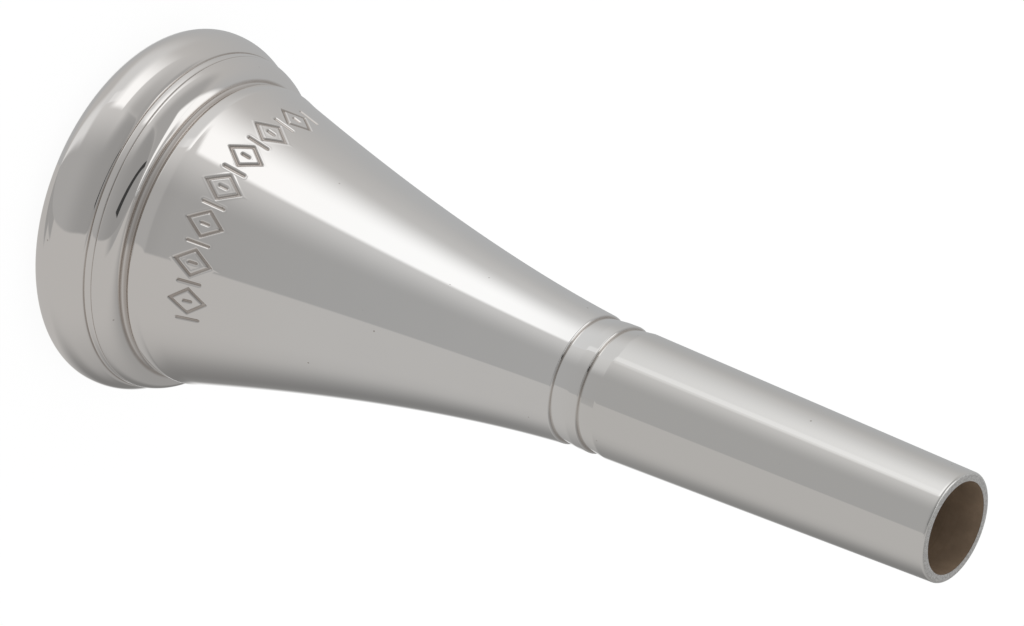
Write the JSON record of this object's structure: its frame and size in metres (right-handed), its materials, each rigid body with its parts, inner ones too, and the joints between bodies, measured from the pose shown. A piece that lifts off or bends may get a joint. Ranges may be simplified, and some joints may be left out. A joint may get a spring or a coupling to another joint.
{
  "type": "horn mouthpiece",
  "caption": "Silver-plated brass horn mouthpiece with a rounded rim, funnel cup, long tapered body with two stepped rings, and a tapered shank.",
  "frame": {"origin": "centre of the circle on which the rim's crown rests", "axes": "+Z along the axis of turning, from the rim to the shank's end"},
  "size_m": [0.0244, 0.0244, 0.0644],
  "materials": {
    "brass": "turned, bare, slightly tarnished",
    "silver": "polished silver plate"
  },
  "bodies": {
    "root": {"brass_body": "brass", "silver_plating": "silver"}
  },
  "joints": []
}
